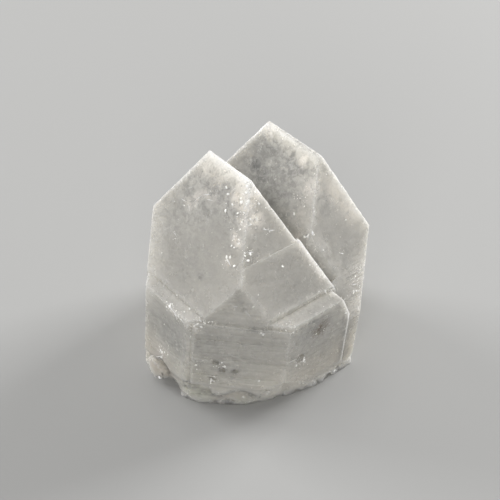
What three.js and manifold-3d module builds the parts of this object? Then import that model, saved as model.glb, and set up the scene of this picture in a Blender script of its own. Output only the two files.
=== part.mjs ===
// Apophyllite: two milky crystals grown side by side in parallel, on a stout prism whose root is broken off.
// Millimetres, +Z up, the viewer's side is -Y. The origin is on the ground under the middle of the outline.
import * as THREE from "three";
import { ConvexGeometry } from "three/addons/geometries/ConvexGeometry.js";
import { mergeVertices } from "three/addons/utils/BufferGeometryUtils.js";
import Module from "manifold-3d";

// Shared growth directions: every crystal has its faces at these turns, so all of them are parallel.
const tipSlope = 62.5; // degrees between a tip face and the level
const axisTurn = -3.9; // the whole growth is turned about the upright
const axisLean = 4.2; // and its long axis leans to the right
const growthMiddle = [0.82, 17.46]; // where the middle of the outline lies in the growth's own frame
const touching = 1e-6; // faces closer than this meet in the same corner

// The stout prism that carries the crystals: distances of its upright faces from the growth axis.
const rootFront = -0.45;
const rootRight = 16.4;
const rootLeft = 18.5;

// A tip face is given by the height where it crosses the growth axis, a side face by its distance from it,
// and a bevel by how far out it meets the neighbouring side's line. top is a level face, foot the lower end.
const leftCrystal = {
  tip: { frontLeft: 30.2, frontRight: 20.9, backLeft: 75.0, backRight: 47.6 },
  side: { front: -0.3, right: 16.0, back: 27.0, left: 18.7 },
  bevel: { frontLeft: 8.1, frontRight: 0.9, backLeft: 38, backRight: 26 },
  top: 38.72,
  foot: 6,
};
const middleCrystal = {
  tip: { frontLeft: 30.0, frontRight: 21.3, backLeft: 68.0, backRight: 48.7 },
  side: { front: -0.3, right: 16.0, back: 20.0, left: 8.0 },
  bevel: { frontLeft: 7.9, frontRight: 1.1, backLeft: 6.2, backRight: 24 },
  top: 28.2,
  foot: 8,
};
const rearCrystal = {
  tip: { frontLeft: 1.5, frontRight: 19.6, backLeft: 78.5, backRight: 74.6 },
  side: { front: -4, right: 16.4, back: 34.0, left: 15.5 },
  bevel: { frontLeft: 8, frontRight: 4.6, backLeft: 44, backRight: 46 },
  top: 37.4,
  foot: -6,
};
const backCrystal = {
  tip: { frontLeft: -3.5, frontRight: -16, backLeft: 80.0, backRight: 56.5 },
  side: { front: -14, right: 7.0, back: 36.0, left: 18.0 },
  bevel: { frontLeft: 4, frontRight: 0, backLeft: 47, backRight: 40 },
  top: 26.2,
  foot: -6,
};
const saddleCrystal = {
  tip: { frontLeft: 11.0, frontRight: -2.5, backLeft: 72.5, backRight: 51.0 },
  side: { front: -10, right: 8.0, back: 30.0, left: 12.0 },
  bevel: { frontLeft: 20, frontRight: 8, backLeft: 44, backRight: 46 },
  top: 30.8,
  foot: 10,
};
const rootBlock = {
  side: { front: rootFront, right: rootRight, back: 32.8, left: rootLeft },
  bevel: { frontLeft: 10.6, frontRight: 4.6, backLeft: 45, backRight: 43 },
  top: 12.4,
  foot: -6,
};
const leftLedge = {
  slope: { frontLeft: [24, 21.2] },
  side: { front: rootFront, right: -5.6, back: 14.0, left: rootLeft },
  bevel: { frontLeft: 10.6, frontRight: 8, backLeft: 38, backRight: 24 },
  foot: 4,
};
const rightLedge = {
  tip: { backRight: 47.3 },
  side: { front: rootFront, right: rootRight, back: 20.0, left: 4.0 },
  bevel: { frontLeft: 9.6, frontRight: 4.9, backLeft: 30, backRight: 24 },
  top: 18.9,
  foot: 4,
};

// The front plate is laid down in level bands, each a little more or less proud than the one above.
const frontPlate = {
  side: { right: 8, back: 6, left: 11 },
  bevel: { frontLeft: 9.9, frontRight: 4.9, backLeft: 24, backRight: 18 },
  bottom: 1.0,
  overlap: 0.02,
  bands: [
    { height: 2.4, proud: 0.38 },
    { height: 1.5, proud: 0.42 },
    { height: 2.3, proud: 0.5 },
    { height: 0.9, proud: 0.4 },
    { height: 2.6, proud: 0.47 },
    { height: 1.2, proud: 0.36 },
    { height: 2.9, proud: 0.44 },
    { height: 1.1, proud: 0.33 },
    { height: 2.1, proud: 0.4 },
  ],
};

// The outline on which the broken root meets the ground, anticlockwise from the left front, with the lip
// over each point: how high it stands and how far it overhangs.
const rootOutline = [
  { at: [-18.7, -6.2], lip: 2.0, over: 0.6 },
  { at: [-16.8, -10.6], lip: 1.6, over: 0.5 },
  { at: [-11.6, -14.6], lip: 2.6, over: 1.4 },
  { at: [-7.2, -16.6], lip: 2.5, over: 1.5 },
  { at: [-2.1, -16.4], lip: 2.8, over: 1.6 },
  { at: [1.6, -15.4], lip: 4.5, over: 2.6 },
  { at: [5.4, -14.1], lip: 9.0, over: 4.2 },
  { at: [10.9, -11.6], lip: 7.0, over: 3.0 },
  { at: [15.4, -8.7], lip: 4.0, over: 2.0 },
  { at: [17.3, -5.0], lip: 4.0, over: 1.2 },
  { at: [16.6, 6.5], lip: 6.0, over: 2.2 },
  { at: [12.6, 13.2], lip: 5.0, over: 2.8 },
  { at: [3.0, 16.2], lip: 3.5, over: 1.8 },
  { at: [-9.0, 16.0], lip: 5.0, over: 2.5 },
  { at: [-16.8, 9.5], lip: 4.0, over: 2.2 },
];
const rootTop = { height: 60, wider: 1.15 }; // above the lips the outline opens past the crystals

// Shell-shaped chips out of the root's edge: where, how big, and their turns in degrees.
const chips = [
  { at: [-15.0, -11.7, -0.2], size: [1.8, 2.3, 2.4], turns: [0, 10, 25] },
  { at: [-13.6, -13.1, 0.3], size: [2.3, 1.9, 2.3], turns: [10, 6, 35] },
  { at: [-11.9, -15.9, 0.4], size: [1.5, 1.3, 1.4], turns: [-20, 15, 10] },
  { at: [-4.6, -18.0, 0.2], size: [1.9, 2.4, 1.0], turns: [15, 0, -10] },
  { at: [1.2, -17.6, 0.3], size: [2.2, 2.0, 1.3], turns: [-15, 20, 15] },
  { at: [-9.4, -17.5, 0.2], size: [1.5, 1.6, 0.9], turns: [25, 10, 30] },
  { at: [-0.6, -17.0, 2.6], size: [1.3, 0.7, 0.8], turns: [10, 25, 0] },
  { at: [4.3, -15.7, 0.1], size: [1.4, 1.6, 1.2], turns: [-10, 0, 20] },
  { at: [7.9, -14.6, 0.0], size: [1.5, 1.5, 1.3], turns: [10, 5, 40] },
  { at: [10.4, -13.5, 0.5], size: [0.9, 1.4, 1.2], turns: [0, -15, 30] },
  { at: [13.1, -11.4, 0.3], size: [1.7, 1.6, 1.7], turns: [0, 25, 50] },
  { at: [16.9, -8.3, 0.4], size: [1.0, 1.2, 1.5], turns: [10, 5, 20] },
  { at: [17.9, -6.2, 1.2], size: [1.5, 2.6, 2.2], turns: [10, -10, 5] },
  { at: [18.4, 2.5, 1.0], size: [1.8, 3.4, 2.4], turns: [5, 12, -8] },
  { at: [15.9, 11.8, 2.2], size: [2.4, 3.0, 3.2], turns: [20, 0, 40] },
  { at: [7.5, 17.6, 1.4], size: [3.6, 2.2, 2.6], turns: [-12, 8, 12] },
  { at: [-3.5, 18.4, 0.9], size: [3.0, 1.9, 2.2], turns: [8, 14, -6] },
  { at: [-14.2, 15.2, 1.8], size: [3.3, 2.6, 3.4], turns: [14, -9, 30] },
  { at: [-19.9, 3.4, 0.8], size: [1.7, 3.2, 2.3], turns: [-6, 10, 12] },
];

// Under this edge, seen from the front as x and z, the root's face has broken back to a surface that lies
// frontBack behind the front face and cornerBack behind the bevel beside it.
const brokenFace = {
  edge: [
    [-20, 5.4], [-16.6, 4.7], [-15.2, 5.9], [-14.3, 5.4], [-13.4, 4.7], [-11.9, 5.1], [-8.4, 5.3],
    [-7.7, 4.6], [-6.5, 2.9], [-4.7, 3.1], [-2.9, 4.1], [-1, 3.8], [0.3, 3.4], [1.4, 1.6],
  ],
  bottom: -1,
  nearest: -24,
  farthest: -4,
  frontBack: 0.55,
  cornerBack: 0.8,
};

// Small pits in the front.
const pits = [
  { at: [-6.2, -17.2, 10.5], size: [0.55, 0.6, 0.45] },
  { at: [-6.7, -17.2, 6.8], size: [0.6, 0.6, 0.4] },
  { at: [-5.2, -17.3, 8.9], size: [0.4, 0.5, 0.4] },
  { at: [-3.2, -17.5, 8.7], size: [0.55, 0.55, 0.35] },
  { at: [7.3, -15.8, 10.0], size: [0.75, 0.7, 0.8] },
];

// A valley between the middle and the rear crystal, cut into the rear one beside the middle one's ridge.
const valley = { from: [6.1, 12.3, 27.9], along: 9.6, wide: 3.4, tall: 3, tilt: 30 };

// A rounded stub at the left foot of the root.
const stub = { at: [-15.9, -10.4, 2.9], size: [3.3, 2.6, 2.5], turns: [10, 20, 30] };

// Materials
const crystalColour = "#cfccc4";
const crystalRoughness = 0.32;

const turnOf = {
  right: 0,
  backRight: 45,
  back: 90,
  backLeft: 135,
  left: 180,
  frontLeft: 225,
  front: 270,
  frontRight: 315,
};

function faceAt(turn, slope, reach) {
  const around = THREE.MathUtils.degToRad(turn);
  const down = THREE.MathUtils.degToRad(slope);
  const level = Math.sin(down);
  const out = new THREE.Vector3(Math.cos(around) * level, Math.sin(around) * level, Math.cos(down));
  return { out, reach };
}

// All the faces of one crystal, each an outward direction and its distance from the growth frame's origin.
function facesOf(crystal) {
  const faces = [];
  for (const [side, height] of Object.entries(crystal.tip ?? {})) {
    faces.push(faceAt(turnOf[side], tipSlope, height * Math.cos(THREE.MathUtils.degToRad(tipSlope))));
  }
  for (const [side, distance] of Object.entries(crystal.side)) {
    faces.push(faceAt(turnOf[side], 90, distance));
  }
  for (const [side, distance] of Object.entries(crystal.bevel)) {
    faces.push(faceAt(turnOf[side], 90, distance * Math.SQRT1_2));
  }
  for (const [side, [slope, height]] of Object.entries(crystal.slope ?? {})) {
    faces.push(faceAt(turnOf[side], slope, height * Math.cos(THREE.MathUtils.degToRad(slope))));
  }
  if (crystal.top !== undefined) {
    faces.push(faceAt(0, 0, crystal.top));
  }
  faces.push(faceAt(0, 180, -crystal.foot));
  return faces;
}

// Every corner where three faces meet and no other face cuts it away.
function cornersOf(faces) {
  const corners = [];
  for (let a = 0; a < faces.length; a += 1) {
    for (let b = a + 1; b < faces.length; b += 1) {
      for (let c = b + 1; c < faces.length; c += 1) {
        const [p, q, r] = [faces[a], faces[b], faces[c]];
        const cross = new THREE.Vector3().crossVectors(q.out, r.out);
        const volume = p.out.dot(cross);
        if (Math.abs(volume) < touching) {
          continue;
        }
        const corner = cross.multiplyScalar(p.reach);
        corner.add(new THREE.Vector3().crossVectors(r.out, p.out).multiplyScalar(q.reach));
        corner.add(new THREE.Vector3().crossVectors(p.out, q.out).multiplyScalar(r.reach));
        corner.divideScalar(volume);
        if (faces.every((face) => face.out.dot(corner) < face.reach + touching)) {
          corners.push(corner);
        }
      }
    }
  }
  return corners;
}

const wasm = await Module();
wasm.setup();
const sameCorner = 1e-5; // corners closer than this are merged

function solidOf(geometry) {
  const plain = geometry.clone();
  plain.deleteAttribute("normal");
  plain.deleteAttribute("uv");
  const merged = mergeVertices(plain, sameCorner);
  return new wasm.Manifold(new wasm.Mesh({
    numProp: 3,
    vertProperties: new Float32Array(merged.attributes.position.array),
    triVerts: new Uint32Array(merged.index.array),
  }));
}

function geometryOf(solid) {
  const mesh = solid.getMesh();
  const geometry = new THREE.BufferGeometry();
  geometry.setAttribute("position", new THREE.BufferAttribute(new Float32Array(mesh.vertProperties), 3));
  geometry.setIndex(new THREE.BufferAttribute(new Uint32Array(mesh.triVerts), 1));
  geometry.computeVertexNormals();
  return geometry;
}

const growth = new THREE.Matrix4().makeRotationY(THREE.MathUtils.degToRad(axisLean));
growth.multiply(new THREE.Matrix4().makeRotationZ(THREE.MathUtils.degToRad(axisTurn)));

function grow(crystal) {
  return solidOf(new ConvexGeometry(cornersOf(facesOf(crystal))).applyMatrix4(growth));
}

// The plate's bands, each a level slab whose ends follow the root's bevels.
function plateBands() {
  const bands = [];
  let bottom = frontPlate.bottom;
  for (const band of frontPlate.bands) {
    bands.push({
      side: { ...frontPlate.side, front: rootFront + band.proud },
      bevel: frontPlate.bevel,
      top: bottom + band.height + frontPlate.overlap,
      foot: bottom,
    });
    bottom += band.height;
  }
  return bands;
}

function turned(geometry, turns) {
  const [x, y, z] = turns.map(THREE.MathUtils.degToRad);
  return geometry.applyMatrix4(new THREE.Matrix4().makeRotationFromEuler(new THREE.Euler(x, y, z)));
}

function lump({ at, size, turns = [0, 0, 0] }, detail) {
  const ball = new THREE.IcosahedronGeometry(1, detail).scale(...size);
  return solidOf(turned(ball, turns).translate(...at));
}

// The valley's cutter: a bar along the ridge, rolled so that its floor dips towards the middle crystal.
function valleyBar() {
  const slope = THREE.MathUtils.degToRad(tipSlope);
  const level = Math.sin(slope) * Math.SQRT1_2;
  const along = new THREE.Vector3(1, 0, -Math.tan(slope) * Math.SQRT1_2).normalize();
  const out = new THREE.Vector3(level, -level, Math.cos(slope));
  const across = new THREE.Vector3().crossVectors(out, along);
  const bar = new THREE.BoxGeometry(valley.along, valley.wide, valley.tall);
  bar.translate(valley.along / 2, -valley.wide / 2, valley.tall / 2);
  turned(bar, [valley.tilt, 0, 0]);
  bar.applyMatrix4(new THREE.Matrix4().makeBasis(along, across, out));
  return solidOf(bar.translate(...valley.from).applyMatrix4(growth));
}

// Everything inside the root's outline: it widens from the ground to the lip and then clears the crystals.
function rootForm() {
  const corners = [];
  for (const { at: [x, y], lip, over } of rootOutline) {
    const reach = Math.hypot(x, y);
    const atLip = (reach + over) / reach;
    const atTop = atLip * rootTop.wider;
    corners.push(new THREE.Vector3(x, y, 0));
    corners.push(new THREE.Vector3(x * atLip, y * atLip, lip));
    corners.push(new THREE.Vector3(x * atTop, y * atTop, rootTop.height));
  }
  return solidOf(new ConvexGeometry(corners));
}

// What has broken off the root's face: a slab under the edge, without what stands behind the broken surface.
function brokenPiece() {
  const { edge, bottom, nearest, farthest, frontBack, cornerBack } = brokenFace;
  const below = [[edge.at(-1)[0], bottom], [edge[0][0], bottom]];
  const outline = new THREE.Shape([...edge, ...below].map(([x, z]) => new THREE.Vector2(x, z)));
  const slab = new THREE.ExtrudeGeometry(outline, { depth: farthest - nearest, bevelEnabled: false });
  slab.rotateX(Math.PI / 2).translate(0, farthest, 0);
  const behind = grow({
    ...rootBlock,
    side: { ...rootBlock.side, front: rootFront - frontBack },
    bevel: { ...rootBlock.bevel, frontLeft: rootBlock.bevel.frontLeft - cornerBack * Math.SQRT2 },
  });
  return solidOf(slab).subtract(onGround(behind));
}

// Moves a grown solid from the growth's own frame over the ground.
function onGround(solid) {
  return solid.translate(-growthMiddle[0], -growthMiddle[1], 0);
}

function growCluster() {
  let cluster = grow(rearCrystal).add(grow(backCrystal)).subtract(valleyBar());
  const rest = [leftCrystal, middleCrystal, saddleCrystal, rootBlock, leftLedge, rightLedge, ...plateBands()];
  for (const crystal of rest) {
    cluster = cluster.add(grow(crystal));
  }
  return onGround(cluster);
}

function breakRoot(cluster) {
  let broken = cluster.subtract(brokenPiece()).add(lump(stub, 1)).intersect(rootForm());
  for (const chip of chips) {
    broken = broken.subtract(lump(chip, 2));
  }
  for (const pit of pits) {
    broken = broken.subtract(lump(pit, 1));
  }
  return broken;
}

// Puts the middle of the outline over the origin.
function centred(solid) {
  const { min, max } = solid.boundingBox();
  return solid.translate(-(min[0] + max[0]) / 2, -(min[1] + max[1]) / 2, 0);
}

const geometry = geometryOf(centred(breakRoot(growCluster())));
const material = new THREE.MeshStandardMaterial({
  color: crystalColour,
  roughness: crystalRoughness,
  metalness: 0,
});
const mesh = new THREE.Mesh(geometry, material);
mesh.name = "crystal_cluster";

const part = new THREE.Group();
part.name = "apophyllite";
part.add(mesh);

export default part;
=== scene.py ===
"""A milky apophyllite specimen: its faces, edges, broken root, sparkle, and a plain stage to see it on."""
import math

import bmesh
import bpy
import numpy as np
from mathutils import Matrix, Vector, geometry, noise
from mathutils.bvhtree import BVHTree
from mathutils.kdtree import KDTree


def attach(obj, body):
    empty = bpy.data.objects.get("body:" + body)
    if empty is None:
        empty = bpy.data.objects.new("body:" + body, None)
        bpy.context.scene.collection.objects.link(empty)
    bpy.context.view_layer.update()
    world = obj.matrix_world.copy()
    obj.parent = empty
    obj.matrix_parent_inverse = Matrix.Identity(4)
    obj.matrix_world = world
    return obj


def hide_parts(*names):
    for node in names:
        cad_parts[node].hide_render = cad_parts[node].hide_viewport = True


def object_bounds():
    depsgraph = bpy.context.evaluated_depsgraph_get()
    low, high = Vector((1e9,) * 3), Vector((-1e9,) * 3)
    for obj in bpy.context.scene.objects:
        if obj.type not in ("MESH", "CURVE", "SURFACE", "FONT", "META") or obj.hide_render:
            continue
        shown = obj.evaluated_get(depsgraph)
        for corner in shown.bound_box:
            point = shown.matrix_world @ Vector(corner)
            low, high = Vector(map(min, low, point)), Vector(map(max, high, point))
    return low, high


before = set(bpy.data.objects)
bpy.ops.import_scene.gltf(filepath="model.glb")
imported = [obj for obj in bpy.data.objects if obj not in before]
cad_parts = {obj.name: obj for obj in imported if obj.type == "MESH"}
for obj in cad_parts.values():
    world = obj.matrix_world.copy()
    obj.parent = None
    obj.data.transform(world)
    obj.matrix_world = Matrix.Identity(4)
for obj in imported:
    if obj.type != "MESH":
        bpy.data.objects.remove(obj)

bl_info = {
    "name": "Milky crystal specimen",
    "version": (1, 0, 0),
    "blender": (4, 5, 0),
    "location": "3D View > Sidebar > Crystal",
    "description": "A parallel growth of milky crystals with worn edges, growth lines and a broken root",
    "category": "Object",
}

CLUSTER = "crystal_cluster"
BODY = "root"
MM = 0.001
CAD_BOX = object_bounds()

# The crystals' shared directions, as the solid has them: turn about the upright, lean to the right, and
# the slopes of the tips' faces and of the left ledge's top.
GROWTH_TURN = math.radians(-3.9)
GROWTH_LEAN = math.radians(4.2)
TIP_SLOPE = math.radians(62.5)
LEDGE_SLOPE = math.radians(24)

# The photograph's frame in pixels, and the view that was worked out from the crystals' parallel edges.
PHOTO_SIZE = 500
VIEW_DOWN = math.radians(39.17)
VIEW_FOCAL = 1035.7
VIEW_TARGET = Vector((-0.84, -3.975, 22.36)) * MM
VIEW_DISTANCE = 165.7 * MM
SENSOR_WIDTH = 36.0

# The square soft lights: where each one stands and how wide it is, in metres, and the point they face.
LIGHTS = {
    "top": ((-0.10, 0.06, 0.48), 0.36),
    "left": ((-0.60, 0.31, 0.22), 0.34),
    "right": ((0.55, 0.39, 0.22), 0.34),
    "fill": ((-0.08, -0.62, 0.30), 0.40),
}
LIGHT_AIM = Vector((0, 0, 0.018))

# Marks that the photograph shows on the crystals. Each one is the pixels that it passes through, its
# radius in millimetres and its strength. Veil, pit, rust, pink and green marks colour the surface, and pits
# are coloured with their painted shade. Bright marks paint bruises together with painted glints, and dark
# marks paint dark spots together with painted shade in the valleys, along the root's ledge step and over
# edges that are too bright. Lined ones strengthen the growth lines, and sparkle ones gather flakes. Pale
# marks lighten a place with painted glow, as thin crystal is lightened, soft ones fade an edge's painted
# highlight and glow, and notches are cut in the root's edge.
MARKS = {
    "veil": [
        ([(205, 172)], 3.4, 1.0), ([(228, 186)], 3.4, 1.0), ([(196, 196)], 3.0, 0.8),
        ([(242, 212)], 2.6, 0.8), ([(272, 140)], 3.2, 1.0), ([(296, 162)], 3.8, 1.0),
        ([(262, 172)], 3.2, 0.9), ([(284, 196)], 3.6, 0.7), ([(318, 200)], 2.8, 0.5),
        ([(170, 220)], 2.4, 0.35), ([(318, 250)], 2.0, 0.5), ([(180, 345)], 3.2, 0.7),
        ([(312, 330)], 3.4, 0.6), ([(225, 372)], 3.4, 0.5), ([(345, 270)], 3.0, 0.5),
    ],
    # Bright marks: whitish bruises, partly painted glints where the surface catches the light.
    "bright": [
        ([(248, 184), (249, 193)], 1.0, 1.0), ([(246, 203)], 1.0, 1.0), ([(256, 219)], 1.0, 1.0),
        ([(240, 201)], 0.7, 0.6), ([(250, 208)], 0.7, 0.9), ([(247, 180), (244, 202)], 1.3, 0.8),
        ([(236, 197)], 0.8, 0.8), ([(254, 194)], 1.0, 0.8), ([(242, 176)], 0.9, 0.8),
        ([(194, 202), (198, 195), (206, 193), (214, 198)], 0.7, 0.42), ([(206, 163)], 1.8, 0.5),
        ([(222, 172)], 2.0, 0.5), ([(190, 203)], 0.8, 0.5), ([(246, 222)], 1.3, 0.6),
        ([(235, 236), (238, 244)], 0.6, 0.8), ([(228, 262)], 0.7, 0.5),
        ([(298, 238), (307, 250), (315, 262), (323, 276)], 0.55, 0.75), ([(310, 188)], 1.4, 0.5),
        ([(307, 199)], 1.2, 0.3), ([(303, 160)], 0.6, 0.8), ([(286, 133)], 1.4, 0.25),
        ([(162, 352)], 1.2, 0.5), ([(300, 215)], 1.6, 0.3), ([(272, 128)], 1.0, 0.6),
        ([(168, 308), (196, 330)], 0.5, 0.5), ([(356, 276), (356, 310)], 1.6, 0.5),
        ([(332, 190), (352, 214)], 1.2, 0.4),
    ],
    # Dark marks: dark spots, and painted shade in the valley, along the root's ledge step and over a bright
    # edge.
    "dark": [
        ([(256, 164)], 0.8, 0.9), ([(263, 178)], 1.4, 0.6), ([(276, 184), (288, 196)], 2.6, 0.45),
        ([(272, 204)], 2.0, 0.3), ([(292, 172)], 2.4, 0.3), ([(268, 150)], 2.4, 0.3),
        ([(214, 190)], 1.4, 0.5), ([(226, 182)], 0.9, 0.5), ([(236, 297), (242, 306)], 0.6, 0.35),
        ([(172, 338)], 2.6, 0.5), ([(190, 336)], 1.8, 0.25), ([(316, 326)], 2.2, 0.5),
        ([(328, 346)], 3.2, 0.35), ([(164, 328)], 2.6, 0.5), ([(334, 274)], 1.0, 0.2),
        ([(155, 294)], 1.6, 0.22), ([(212, 344)], 1.2, 0.3), ([(200, 364)], 0.6, 0.3),
        ([(228, 374)], 1.6, 0.2), ([(252, 330)], 0.6, 0.7), ([(200, 276)], 0.5, 0.6),
        ([(338, 300)], 2.4, 0.3), ([(190, 262)], 3.0, 0.25), ([(300, 290)], 3.0, 0.2),
        ([(181, 384), (197, 388), (211, 394), (219, 397)], 0.42, 1.0),
        ([(219, 397), (229, 393), (240, 392), (254, 396), (261, 398)], 0.42, 1.0),
        ([(342, 299), (348, 318), (347, 352)], 0.35, 0.4),
        ([(346, 318), (344, 340), (341, 359)], 0.9, 0.8), ([(334, 345)], 2.4, 0.25),
        ([(175, 356)], 2.0, 0.2), ([(300, 268)], 2.4, 0.15),
    ],
    "pit": [
        ([(217, 363)], 0.24, 1.0), ([(213, 381)], 0.2, 0.9), ([(218, 368)], 0.18, 0.7),
        ([(230, 373)], 0.2, 0.8), ([(302, 360)], 0.2, 0.8), ([(255, 163)], 0.35, 1.0),
        ([(259, 167)], 0.25, 0.8), ([(237, 291)], 0.3, 0.8), ([(244, 310)], 0.25, 0.8),
        ([(254, 330)], 0.25, 0.8), ([(264, 331)], 0.3, 0.7), ([(320, 330)], 0.35, 0.8),
        ([(314, 322)], 0.3, 0.7), ([(328, 258)], 0.3, 0.7), ([(198, 347)], 0.3, 0.6),
        ([(261, 211)], 0.3, 0.6), ([(270, 127)], 0.3, 0.6), ([(277, 132)], 0.25, 0.6),
        ([(341, 200)], 0.25, 0.6), ([(177, 322)], 0.3, 0.6),
    ],
    "rust": [
        ([(321, 329)], 1.1, 1.0), ([(316, 333)], 0.7, 0.7), ([(327, 326)], 0.6, 0.6),
    ],
    "pink": [
        ([(158, 366)], 2.4, 1.0), ([(218, 400), (236, 397), (256, 399)], 1.0, 0.9),
        ([(340, 352)], 3.0, 0.4), ([(312, 372)], 3.2, 0.3), ([(152, 340)], 2.0, 0.25),
    ],
    "green": [
        ([(188, 390), (204, 396)], 1.2, 1.0), ([(240, 401), (252, 401)], 1.2, 0.8),
        ([(180, 372)], 2.4, 0.4),
    ],
    "lined": [
        ([(357, 276), (354, 320)], 1.7, 1.0), ([(156, 286), (156, 302)], 0.9, 0.8),
        ([(245, 335), (245, 385)], 3.5, 0.6), ([(215, 340), (275, 340)], 2.5, 0.5),
        ([(330, 320), (340, 350)], 2.0, 0.4),
    ],
    "sparkle": [
        ([(248, 187), (247, 205)], 0.9, 0.8), ([(240, 201)], 0.6, 0.7), ([(213, 378)], 0.7, 0.6),
        ([(234, 374)], 0.8, 0.6), ([(198, 362)], 0.8, 0.5), ([(224, 366)], 0.7, 0.6),
        ([(246, 220)], 1.2, 1.0), ([(252, 226)], 0.8, 0.9), ([(236, 236), (238, 244)], 0.7, 1.0),
        ([(249, 252)], 0.7, 1.0), ([(228, 262)], 0.6, 1.0), ([(267, 230)], 0.6, 0.6),
        ([(313, 233)], 0.4, 1.0), ([(307, 238)], 0.5, 0.9), ([(342, 254)], 0.5, 0.9),
        ([(252, 317)], 0.3, 1.0), ([(263, 333)], 0.4, 1.0), ([(324, 291)], 0.7, 1.0),
        ([(168, 306), (180, 320), (188, 326), (196, 330)], 0.75, 1.0),
        ([(196, 330), (205, 321)], 0.8, 1.0), ([(175, 234)], 0.5, 0.8), ([(185, 205)], 0.6, 0.6),
        ([(244, 195)], 1.2, 0.6), ([(302, 363)], 0.6, 1.0), ([(358, 285)], 1.4, 0.6),
        ([(282, 273)], 1.1, 0.4), ([(216, 365)], 0.6, 0.6), ([(212, 381)], 0.8, 0.8),
        ([(162, 352)], 1.0, 0.8), ([(303, 198)], 0.9, 0.5), ([(303, 160)], 0.4, 0.8),
        ([(291, 325)], 0.7, 0.7), ([(320, 268)], 1.2, 0.4), ([(233, 200)], 2.4, 0.3),
        ([(345, 300)], 1.6, 0.3), ([(240, 300)], 0.8, 0.4), ([(320, 330)], 1.2, 0.4),
    ],
    # Pale marks: painted glow, as if thin crystal were lit through from behind.
    "pale": [
        ([(277, 319), (329, 291)], 0.75, 1.0), ([(259, 260), (294, 245)], 0.35, 0.6),
        ([(158, 284), (198, 317)], 0.5, 0.7), ([(184, 381), (200, 385), (212, 390)], 0.4, 1.0),
        ([(219, 393), (229, 389), (240, 388), (254, 392), (264, 395)], 0.4, 1.0),
        ([(190, 337), (189, 379)], 0.35, 0.8),
        ([(190, 391), (206, 397), (218, 401), (240, 400), (256, 401)], 0.7, 0.5),
        ([(285, 212), (297, 232)], 2.2, 0.6), ([(240, 314)], 2.2, 0.5),
        ([(325, 165), (362, 222)], 2.2, 0.45), ([(366, 240), (361, 300)], 1.5, 0.5),
        ([(232, 350)], 2.0, 0.2), ([(280, 384), (236, 387)], 2.2, 0.6),
        ([(278, 180), (285, 200)], 3.0, 0.25), ([(318, 248), (334, 276)], 1.5, 0.6),
        ([(156, 218), (150, 295)], 1.6, 0.65), ([(340, 368), (324, 380)], 1.6, 0.8),
        ([(314, 384), (266, 394)], 1.8, 0.8), ([(353, 300), (351, 350)], 0.8, 0.4),
        ([(178, 380), (180, 366)], 1.2, 0.5),
    ],
    # Soft marks fade the painted edge highlight and the painted glow of thin crystal.
    "soft": [
        ([(270, 204), (290, 234)], 1.2, 0.7),
        ([(332, 293), (346, 305), (348, 335), (346, 352)], 1.1, 1.0),
        ([(300, 314), (318, 302)], 1.6, 0.7), ([(258, 260), (294, 244)], 0.9, 1.0),
        ([(211, 157), (228, 166)], 2.6, 0.45),
    ],
    "notch": [
        ([(264, 396), (266, 393)], 0.35, 1.0), ([(274, 394)], 0.3, 0.8), ([(288, 391)], 0.35, 1.0),
        ([(297, 391)], 0.3, 0.7), ([(307, 388)], 0.3, 0.8), ([(319, 382), (318, 379)], 0.4, 1.0),
        ([(330, 376)], 0.35, 0.7), ([(339, 368)], 0.4, 1.0), ([(216, 402)], 0.3, 0.7),
        ([(186, 389)], 0.3, 0.8), ([(199, 396)], 0.3, 0.6),
    ],
}

# Short bright cracks: both ends in pixels, and the width in millimetres.
CRACKS = [
    ((247, 253), (254, 252), 0.22), ((262, 229), (268, 230), 0.14), ((268, 231), (275, 230), 0.12),
    ((312, 230), (313, 236), 0.5), ((227, 258), (231, 267), 0.2), ((241, 246), (247, 252), 0.16),
    ((180, 198), (187, 202), 0.10), ((188, 204), (190, 212), 0.10), ((194, 202), (202, 195), 0.12),
    ((202, 195), (212, 194), 0.12), ((173, 231), (177, 237), 0.10), ((305, 236), (309, 238), 0.18),
    ((340, 253), (344, 254), 0.22), ((170, 307), (177, 316), 0.12), ((179, 318), (188, 327), 0.16),
    ((290, 328), (297, 328), 0.16), ((324, 290), (327, 294), 0.3), ((261, 334), (266, 334), 0.24),
    ((170, 306), (173, 311), 0.3), ((174, 313), (177, 318), 0.2), ((181, 320), (184, 323), 0.2),
    ((186, 324), (189, 327), 0.4), ((199, 319), (202, 322), 0.35), ((194, 328), (199, 329), 0.2),
    ((232, 306), (239, 307), 0.10), ((244, 309), (249, 315), 0.10), ((350, 284), (358, 285), 0.10),
    ((351, 291), (361, 291), 0.10), ((297, 362), (300, 357), 0.16), ((303, 358), (306, 364), 0.16),
    ((206, 199), (214, 201), 0.10), ((154, 357), (164, 356), 0.16), ((209, 378), (216, 383), 0.14),
]

# How strongly the creases' painted shade and the painted glow on the lips over the break are drawn:
# heights in millimetres and the strength at each. The step on the broken root shows most, and nothing is
# drawn above the root.
CREASE_SHARE = ((5.5, 7.0, 16.0, 16.5), (1.0, 0.13, 0.13, 0.0))
LIP_SHARE = ((5.6, 6.4), (1.0, 0.0))

# How far an edge's wear colour and painted highlight, a crease's painted shade and a lip's painted glow
# reach from it.
EDGE_FADE = 0.55 * MM
CREASE_FADE = 0.22 * MM
LIP_FADE = 0.3 * MM

# What sorts the solid's faces: the least area of a broad face, how well a grown face keeps one of the
# crystals' directions, how level an upright face looks, how far down a face over the break looks, and
# how alike two faces' directions are where they pass for one.
BROAD_AREA = 4 * MM * MM
GROWN_MATCH = 0.9995
UPRIGHT_MATCH = 0.05
OVERHANG = -0.3
SAME_FACE_MATCH = 0.94

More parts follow.
